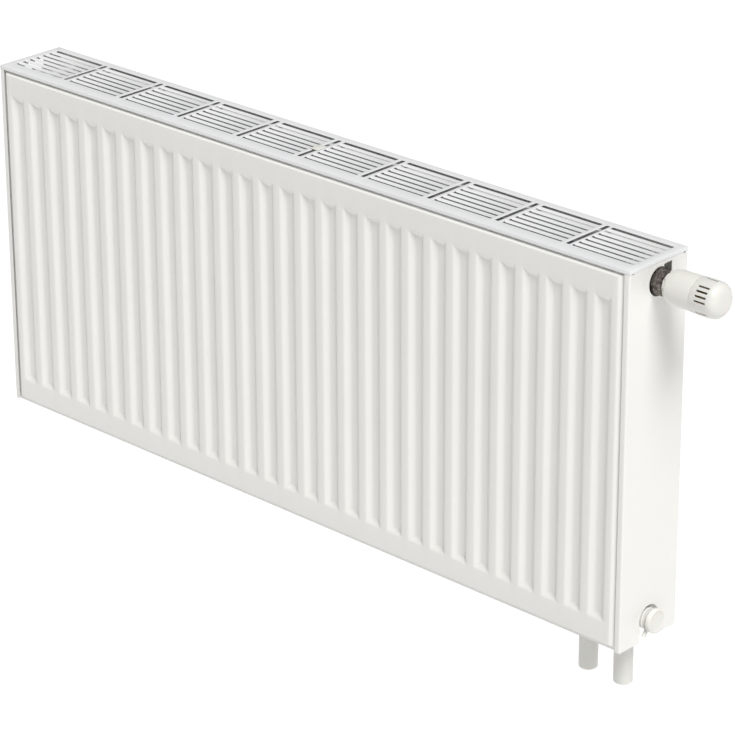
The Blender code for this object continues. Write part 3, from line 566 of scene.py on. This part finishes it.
def make_side_covers():
    """Folded end covers with a raised collar around each opening."""
    rows_across = 56
    rows_up = 200
    hole = 16.5 * MM
    collar = 3.2 * MM
    collar_height = 0.5 * MM
    flange = 7 * MM
    for name, side in (("left_side_cover", -1), ("right_side_cover", 1)):
        low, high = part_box(name)
        face = side * (HALF - COVER_SHEET / 2)
        front = low.y + COVER_SHEET / 2
        rear = high.y - COVER_SHEET / 2
        inner = side * (HALF - flange)
        corners = fillet([(inner, front), (face, front), (face, rear), (inner, rear)], 1.8 * MM, 5)
        flat_rows = spaced(front + 2.2 * MM, rear - 2.2 * MM, rows_across)
        outline = [tuple(point) for point in corners]
        split = len(outline) // 2
        outline = outline[:split] + [(face, y) for y in flat_rows] + outline[split:]
        levels = spaced(low.z, high.z, rows_up)

        def raised(point):
            if abs(point.x - face) > 0.05 * MM:
                return point
            distance = min(hypot(point.y - MID_Y, point.z - level) for level in (VALVE_Z, DRAIN_Z))
            lift = 1 - eased((distance - hole - 1.0 * MM) / collar)
            return Vector((point.x + side * collar_height * lift, point.y, point.z))

        cover = folded_sheet(f"{name}_folded", outline, levels, COVER_SHEET, ENAMEL, 0.0, raised)
        bake(cover)
        rods = [(hole, (side * HALF, MID_Y, level), 12 * MM, (1, 0, 0)) for level in (VALVE_Z, DRAIN_Z)]
        cut(cover, rod_cutter(rods, 64))
        # Beside the upper opening, from the bottom edge to the lower opening, and near both top corners
        notches = [
            ((MID_Y + 8 * MM, VALVE_Z + 5 * MM), (MID_Y + 22 * MM, VALVE_Z + 17.5 * MM)),
            ((MID_Y - 14.5 * MM, low.z - 5 * MM), (MID_Y + 14.5 * MM, low.z + 17 * MM)),
            ((low.y + 4 * MM, high.z - 1.2 * MM), (low.y + 8 * MM, high.z + 2 * MM)),
            ((high.y - 8 * MM, high.z - 1.2 * MM), (high.y - 4 * MM, high.z + 2 * MM)),
        ]
        for (y_low, z_low), (y_high, z_high) in notches:
            size = (12 * MM, y_high - y_low, z_high - z_low)
            middle = (side * HALF, (y_low + y_high) / 2, (z_low + z_high) / 2)
            cut(cover, box_cutter([(size, Matrix.Translation(middle))]))
        settle(cover, "radiator", [name], 30)


def make_lugs():
    """Hat-shaped hanging lugs with rounded bends and a slot."""
    sheet = 2.0 * MM
    web = 26 * MM
    for level in ("upper", "lower"):
        for side in ("left", "right"):
            name = f"{level}_{side}_lug"
            low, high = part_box(name)
            centre = (low.x + high.x) / 2
            foot_y = low.y + sheet / 2
            web_y = high.y - sheet / 2
            outline = fillet([
                (low.x, foot_y), (centre - web / 2, foot_y), (centre - web / 2 + 1 * MM, web_y),
                (centre + web / 2 - 1 * MM, web_y), (centre + web / 2, foot_y), (high.x, foot_y),
            ], 2.0 * MM, 5)
            lug = folded_sheet(f"{name}_bent", outline, [low.z, high.z], sheet, ENAMEL)
            bake(lug)
            slot_low = low.z + 34 * MM
            slot_high = low.z + 44 * MM
            middle = (centre, web_y, (slot_low + slot_high) / 2)
            cut(lug, box_cutter([((8 * MM, 8 * MM, slot_high - slot_low), Matrix.Translation(middle))]))
            ends = [(4 * MM, (centre, web_y, z), 8 * MM, (0, 1, 0)) for z in (slot_low, slot_high)]
            for end in ends:
                cut(lug, rod_cutter([end], 32))
            soften(lug, 0.3 * MM, 2, 60)
            settle(lug, "radiator", [name], 40)


def make_clips():
    """Folded spring clips, and the small keeper that sits on a rib of the grille."""
    for name in ("left_grille_clip", "right_grille_clip"):
        low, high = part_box(name)
        half = 0.3 * MM
        outline = fillet([(low.y + half, low.z), (low.y + half, high.z - half),
                          (high.y - half, high.z - half), (high.y - half, low.z)], 1.2 * MM, 4)
        bm = bmesh.new()
        sides = [[bm.verts.new((x, y, z)) for y, z in outline] for x in (low.x, high.x)]
        for index in range(len(outline) - 1):
            bm.faces.new((sides[0][index], sides[0][index + 1], sides[1][index + 1], sides[1][index]))
        clip = add_mesh(f"{name}_bent", bm, STEEL)
        thicken(clip, 2 * half)
        settle(clip, "radiator", [name])

    keeper = add_block("grille_keeper", *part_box("grille_centre_clip"), PLASTIC)
    soften(keeper, 0.5 * MM, 3)
    settle(keeper, "radiator", ["grille_centre_clip"])


# Water connections

def vertical(obj, centre):
    """Stand a piece that was turned about X through the origin upright on a centre."""
    obj.data.transform(Matrix.Translation(centre) @ Matrix.Rotation(-pi / 2, 4, "Y"))
    return obj


def make_stubs():
    for name in ("supply", "return"):
        low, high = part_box(f"{name}_sleeve")
        centre = ((low.x + high.x) / 2, MID_Y, low.z)
        radius = (high.x - low.x) / 2
        length = high.z - low.z
        bore = 9.3 * MM
        profile = [(0, 2 * MM), (bore, 2 * MM), (bore, length), (radius - 0.2 * MM, length),
                   (radius - 0.2 * MM, length - 8 * MM), (radius, length - 8.5 * MM), (radius, 1.6 * MM),
                   (radius - 1.6 * MM, 0), (0, 0)]
        sleeve = revolve(f"{name}_sleeve_moulded", fillet(profile, 0.9 * MM, 4), (0, 0, 0), 1, PLASTIC)
        vertical(sleeve, centre)
        settle(sleeve, "radiator", [f"{name}_sleeve"])

        low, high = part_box(f"{name}_nipple")
        thread = 0.35 * MM
        pitch = 1.8 * MM
        turns = int((high.z - low.z - 2 * MM) / pitch)
        outer = (high.x - low.x) / 2
        profile = [(6.5 * MM, 0), (outer - 1 * MM, 0)]
        for turn in range(turns):
            base = 1 * MM + turn * pitch
            profile += [(outer - thread, base), (outer, base + pitch / 2)]
        profile += [(outer - 1 * MM, high.z - low.z), (6.5 * MM, high.z - low.z)]
        nipple = revolve(f"{name}_nipple_threaded", profile, (0, 0, 0), 1, NICKEL, 48, closed=True)
        vertical(nipple, ((low.x + high.x) / 2, MID_Y, low.z))
        settle(nipple, "radiator", [f"{name}_nipple"])


def make_plugs():
    plugs = (("left_blind_plug", -1, DRAIN_Z, 0.0, NICKEL_SLOT),
             ("bleed_plug", -1, VALVE_Z, 3.2 * MM, NICKEL_SLOT),
             ("drain_plug", 1, DRAIN_Z, 3.2 * MM, ENAMEL_SLOT))
    for name, side, level, hollow, slot in plugs:
        low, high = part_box(name)
        start = low.x if side > 0 else high.x
        length = high.x - low.x
        outline = [(hollow, length), (PLUG_HEAD_RADIUS, length), (PLUG_HEAD_RADIUS, PLUG_HEAD_START),
                   (PLUG_THREAD_RADIUS, PLUG_HEAD_START), (PLUG_THREAD_RADIUS, 0), (hollow, 0)]
        rounded = fillet(outline, 0.6 * MM, 3, closed=bool(hollow))
        plug = revolve(f"{name}_turned", rounded, (start, MID_Y, level), side, SLOT_MATERIALS[slot], 64,
                       bool(hollow))
        if not hollow:
            turn = Matrix.Rotation(pi / 2, 4, "Y")
            bm = bmesh.new()
            bmesh.ops.create_cone(bm, cap_ends=True, segments=6, radius1=PLUG_SOCKET_RADIUS,
                                  radius2=PLUG_SOCKET_RADIUS, depth=8 * MM,
                                  matrix=Matrix.Translation((low.x, MID_Y, level)) @ turn)
            cut(plug, add_mesh("cutter", bm, NICKEL))
        settle(plug, "radiator", [name])

    screws = (("bleed_screw", -1, VALVE_Z, 2.0 * MM), ("drain_screw", 1, DRAIN_Z, 2.4 * MM))
    for name, side, level, tip in screws:
        low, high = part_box(name)
        start = low.x if side > 0 else high.x
        length = high.x - low.x
        outline = [(0, length), (tip, length), (tip, 17 * MM), (2.9 * MM, 17 * MM), (2.9 * MM, 2 * MM),
                   (0, 0)]
        screw = revolve(f"{name}_turned", fillet(outline, 0.3 * MM, 3), (start, MID_Y, level), side,
                        BRASS, 40)
        middle = (start + side * length, MID_Y, level)
        cut(screw, box_cutter([((2.4 * MM, 0.8 * MM, 6 * MM), Matrix.Translation(middle))]))
        settle(screw, name, [name])

    deep = CAP_HIGH.x - CAP_LOW.x
    radius = (CAP_HIGH.z - CAP_LOW.z) / 2
    outline = [(0, deep - 0.7 * MM), (radius - 2.6 * MM, deep - 0.7 * MM), (radius - 1.9 * MM, deep),
               (radius - 0.9 * MM, deep), (radius, deep - 1.1 * MM), (radius, 0), (2.7 * MM, 0),
               (2.7 * MM, 3.6 * MM), (0, 3.6 * MM)]
    cap = revolve("drain_cap_moulded", fillet(outline, 0.7 * MM, 4), (CAP_LOW.x, MID_Y, DRAIN_Z), 1,
                  PLASTIC, 72)
    settle(cap, "drain_screw", ["drain_plug_cap"])

    inner = 3.3 * MM
    outer = 6.5 * MM
    spouts = (("bleed_spout", -1, VALVE_Z, 1.6 * MM, 8 * MM, 0.0),
              ("drain_spout", 1, DRAIN_Z, 2.3 * MM, 21 * MM, DRAIN_TURN))
    for name, side, level, radius, reach, turn in spouts:
        low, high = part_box(name)
        start = low.x if side > 0 else high.x
        thick = high.x - low.x
        outline = fillet([(inner, thick), (outer, thick), (outer, 0), (inner, 0)], 0.8 * MM, 4, closed=True)
        ring = revolve(f"{name}_moulded", outline, (start, MID_Y, level), side, PLASTIC, 64, closed=True)
        root = reach - 4.8 * MM
        nozzle_profile = [(0, 1.5 * MM), (radius - 0.8 * MM, 1.5 * MM), (radius - 0.8 * MM, 0),
                          (radius - 0.4 * MM, 0), (radius, 0.5 * MM), (radius + 0.1 * MM, root), (0, root)]
        nozzle = revolve("nozzle", nozzle_profile, (0, 0, 0), 1, PLASTIC, 32)
        vertical(nozzle, (0, 0, -reach))
        centre = Matrix.Translation((start + side * thick / 2, MID_Y, level))
        nozzle.data.transform(centre @ Matrix.Rotation(turn, 4, "X"))
        cut(ring, nozzle, "UNION")
        settle(ring, name, [name])


def make_bracket_plate():
    """The bracket plate, with rounded edges and a hole for each nipple."""
    low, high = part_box("connection_bracket")
    bracket = add_block("connection_bracket_plate", low, high, ENAMEL)
    for name in ("supply", "return"):
        nipple_low, nipple_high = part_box(f"{name}_nipple")
        middle = ((nipple_low.x + nipple_high.x) / 2, MID_Y, (low.z + high.z) / 2)
        cut(bracket, rod_cutter([(9.4 * MM, middle, 20 * MM, (0, 0, 1))]))
    soften(bracket, 0.5 * MM, 2)
    settle(bracket, "radiator", ["connection_bracket"])


# Thermostatic valve and head

def knurl(radius, distance, angle):
    """Diamond knurling on the nut's rim."""
    rim = NUT_RADIUS - 0.6 * MM
    if radius < rim:
        return radius
    skew = 2 * pi * distance / KNURL_PITCH
    first = abs(sin((KNURL_TEETH * angle + skew) / 2))
    second = abs(sin((KNURL_TEETH * angle - skew) / 2))
    return radius - KNURL_DEPTH * (1 - min(first, second))


def make_nut():
    length = NUT_HIGH.x - NUT_LOW.x
    rim_start = 1.2 * MM
    rim_end = 13 * MM
    rim = [(NUT_RADIUS, rim_end - (rim_end - rim_start) * step / 20) for step in range(21)]
    profile = [(9.6 * MM, length), (13.2 * MM, length), (NUT_RADIUS - 0.7 * MM, rim_end + 0.5 * MM)] + rim
    profile += [(13.8 * MM, 0), (12.3 * MM, 0), (12.3 * MM, 10.3 * MM), (9.6 * MM, 10.3 * MM)]
    nut = revolve("union_nut_knurled", profile, (NUT_LOW.x, MID_Y, VALVE_Z), 1, NICKEL,
                  KNURL_TEETH * KNURL_SIDES_PER_TOOTH, True, knurl)
    settle(nut, "radiator", ["union_nut"], 50)


def make_valve():
    low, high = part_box("valve_insert")
    length = high.x - low.x
    hub_face = 18.0 * MM
    collar = hub_face + 2.4 * MM
    outline = [
        (4.4 * MM, length), (12.0 * MM, length), (12.0 * MM, collar), (9.5 * MM, collar),
        (9.5 * MM, 5 * MM), (7.5 * MM, 3 * MM), (7.5 * MM, 0), (3.0 * MM, 0), (3.0 * MM, 2 * MM),
        (5.2 * MM, 2 * MM), (5.2 * MM, hub_face + 8 * MM), (2.3 * MM, hub_face + 8 * MM),
        (2.3 * MM, length - 6 * MM), (4.4 * MM, length - 6 * MM),
    ]
    insert = revolve("valve_insert_turned", fillet(outline, 0.35 * MM, 3, closed=True),
                     (low.x, MID_Y, VALVE_Z), 1, BRASS, 64, closed=True)
    settle(insert, "radiator", ["valve_insert"])


def make_head_base():
    """The head's neck: a clamping collar with windows between its fingers."""
    low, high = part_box("head_base")
    outline = [
        (9.0 * MM, 46 * MM), (11.5 * MM, 46 * MM), (11.5 * MM, 16 * MM), (16.7 * MM, 16 * MM),
        (16.7 * MM, 13 * MM), (13.0 * MM, 9.2 * MM), (9.3 * MM, 8.4 * MM), (9.3 * MM, 2.0 * MM),
        (12.0 * MM, 2.0 * MM), (12.0 * MM, 0), (7.4 * MM, 0), (7.4 * MM, 10 * MM), (9.0 * MM, 12 * MM),
    ]
    base = revolve("head_base_moulded", fillet(outline, 0.4 * MM, 3, closed=True),
                   (low.x, MID_Y, VALVE_Z), 1, PLASTIC, HEAD_SIDES, closed=True)
    windows = 10
    boxes = []
    for window in range(windows):
        turn = Matrix.Rotation(2 * pi * window / windows, 4, "X")
        place = Matrix.Translation((low.x + 11.5 * MM, MID_Y, VALVE_Z)) @ turn
        boxes.append(((5 * MM, 5 * MM, 3.6 * MM), place @ Matrix.Translation((0, 16 * MM, 0))))
    cut(base, box_cutter(boxes))
    settle(base, "radiator", ["head_base"])


def make_handwheel():
    """The grip barrel, tapered towards the neck."""
    low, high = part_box("handwheel")
    length = high.x - low.x
    radius = (high.z - low.z) / 2
    bore = radius - HEAD_WALL
    outline = [(bore, length), (radius, length), (radius, 8 * MM), (radius - 0.7 * MM, 2 * MM),
               (radius - 1.7 * MM, 0), (bore, 0)]
    barrel = revolve("handwheel_grip", fillet(outline, 0.8 * MM, 4, closed=True),
                     (low.x, MID_Y, VALVE_Z), 1, PLASTIC, HEAD_SIDES, closed=True)
    settle(barrel, "handwheel", ["handwheel"])


def make_vented_cap():
    low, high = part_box("handwheel_vented_cap")
    spigot_reach = 4 * MM
    start = low.x + spigot_reach
    tall = high.x - start
    outer = (high.z - low.z) / 2
    quarter = [pi / 2 * index / 12 for index in range(13)]
    centre_radius = outer - HEAD_CROWN
    centre_height = tall - HEAD_CROWN
    inner_crown = HEAD_CROWN - HEAD_WALL
    dome = [(centre_radius + HEAD_CROWN * sin(angle), centre_height + HEAD_CROWN * cos(angle))
            for angle in quarter]
    hollow = [(centre_radius + inner_crown * cos(angle), centre_height + inner_crown * sin(angle))
              for angle in quarter]
    rim = [(outer, 1.2 * MM), (outer - 0.3 * MM, 0.3 * MM), (outer - 1.0 * MM, 0)]
    spigot = outer - HEAD_WALL - 0.8 * MM
    collar = spigot - 2 * MM
    profile = [(0, tall), (6 * MM, tall)] + dome + rim
    profile += [(spigot, 0), (spigot, -spigot_reach), (collar, -spigot_reach), (collar, 1 * MM),
                (outer - HEAD_WALL, 3 * MM)] + hollow + [(0, tall - HEAD_WALL)]
    cap = revolve("handwheel_cap_vented", profile, (start, MID_Y, VALVE_Z), 1, PLASTIC, HEAD_SIDES)
    slots = []
    for group in range(VENT_GROUPS):
        for index in range(VENTS_PER_GROUP):
            spread = (index - (VENTS_PER_GROUP - 1) / 2) * VENT_STEP
            turn = Matrix.Rotation(VENT_FACING + 2 * pi * group / VENT_GROUPS + spread, 4, "X")
            place = Matrix.Translation((HALF + VENT_CENTRE, MID_Y, VALVE_Z)) @ turn
            slots.append(((VENT_LENGTH, 12 * MM, VENT_WIDTH), place @ Matrix.Translation((0, 19 * MM, 0))))
    cutter = box_cutter(slots)
    soften(cutter, 0.6 * MM, 2)
    bake(cutter)
    cut(cap, cutter)
    settle(cap, "handwheel", ["handwheel_vented_cap"])


def paint_cad_nodes():
    """CAD pieces that stay get the finish of their slot."""
    for row in frame["record"]["subparts"]:
        node = frame["nodes"][row["node"]]
        if node.hide_render:
            continue
        node.data.materials.clear()
        node.data.materials.append(SLOT_MATERIALS[row["material_slot"]])
        node.data.shade_smooth()
        node.data.set_sharp_from_angle(angle=radians(32))


# Stage

def aim_lamp(name, light, place, aim):
    lamp = bpy.data.objects.new(name, light)
    lamp.location = place
    lamp.rotation_mode = "QUATERNION"
    lamp.rotation_quaternion = (Vector(aim) - Vector(place)).to_track_quat("-Z", "Y")
    bpy.context.scene.collection.objects.link(lamp)


def make_stage():
    bm = bmesh.new()
    bmesh.ops.create_grid(bm, x_segments=8, y_segments=8, size=FLOOR_SIZE)
    bmesh.ops.translate(bm, vec=(0, 0, FLOOR_LEVEL), verts=bm.verts)
    paint = finish_material("floor_paint", (0.92, 0.92, 0.92), (0.91, 0.91, 0.91), (0.8, 0.9), 40, 0.05,
                            specular=0.1)
    shader = paint.node_tree.nodes["Principled BSDF"]
    shader.inputs["Emission Color"].default_value = (1, 1, 1, 1)
    shader.inputs["Emission Strength"].default_value = FLOOR_GLOW
    floor = add_mesh("studio_floor", bm, paint)

    world = bpy.data.worlds.new("studio")
    world.use_nodes = True
    nodes = world.node_tree.nodes
    links = world.node_tree.links
    sky = nodes["Background"]
    sky.inputs["Color"].default_value = (0.97, 0.985, 1.0, 1)
    sky.inputs["Strength"].default_value = WORLD_STRENGTH
    # White to the camera alone, so that level views don't end in a grey sky
    backdrop = nodes.new("ShaderNodeBackground")
    backdrop.inputs["Color"].default_value = (1, 1, 1, 1)
    path = nodes.new("ShaderNodeLightPath")
    mix = nodes.new("ShaderNodeMixShader")
    links.new(path.outputs["Is Camera Ray"], mix.inputs["Fac"])
    links.new(sky.outputs["Background"], mix.inputs[1])
    links.new(backdrop.outputs["Background"], mix.inputs[2])
    links.new(mix.outputs["Shader"], nodes["World Output"].inputs["Surface"])
    bpy.context.scene.world = world

    aim = (0, MID_Y, TOP / 2)
    ceiling = bpy.data.lights.new("ceiling_light", "SUN")
    ceiling.energy = CEILING_STRENGTH
    ceiling.angle = CEILING_SPREAD
    ceiling.color = (1.0, 0.99, 0.97)
    aim_lamp("ceiling_light", ceiling, Vector(aim) + Vector(CEILING_DIRECTION), aim)

    softbox = bpy.data.lights.new("right_softbox", "AREA")
    softbox.shape = "RECTANGLE"
    softbox.size, softbox.size_y = SOFTBOX_SIZE
    softbox.energy = SOFTBOX_POWER
    aim_lamp("right_softbox", softbox, SOFTBOX_PLACE, aim)


def make_camera():
    data = bpy.data.cameras.new("photo_camera")
    data.lens = CAMERA_LENS
    data.sensor_width = 36
    data.shift_y = CAMERA_SHIFT
    camera = bpy.data.objects.new("photo_camera", data)
    bpy.context.scene.collection.objects.link(camera)
    forward = Vector((-sin(CAMERA_AZIMUTH) * cos(CAMERA_PITCH), cos(CAMERA_AZIMUTH) * cos(CAMERA_PITCH),
                      -sin(CAMERA_PITCH)))
    level = Vector((cos(CAMERA_AZIMUTH), sin(CAMERA_AZIMUTH), 0))
    upright = level.cross(forward)
    right = level * cos(CAMERA_ROLL) + upright * sin(CAMERA_ROLL)
    up = upright * cos(CAMERA_ROLL) - level * sin(CAMERA_ROLL)
    turn = Matrix((right, up, -forward)).transposed()
    camera.matrix_world = Matrix.Translation(CAMERA_AIM - forward * CAMERA_DISTANCE) @ turn.to_4x4()
    bpy.context.scene.camera = camera


bpy.context.scene.view_settings.view_transform = "Standard"
make_camera()
make_stage()
make_panels()
make_convectors()
make_grille()
make_side_covers()
make_lugs()
make_clips()
make_stubs()
make_plugs()
make_bracket_plate()
make_nut()
make_valve()
make_head_base()
make_handwheel()
make_vented_cap()
paint_cad_nodes()
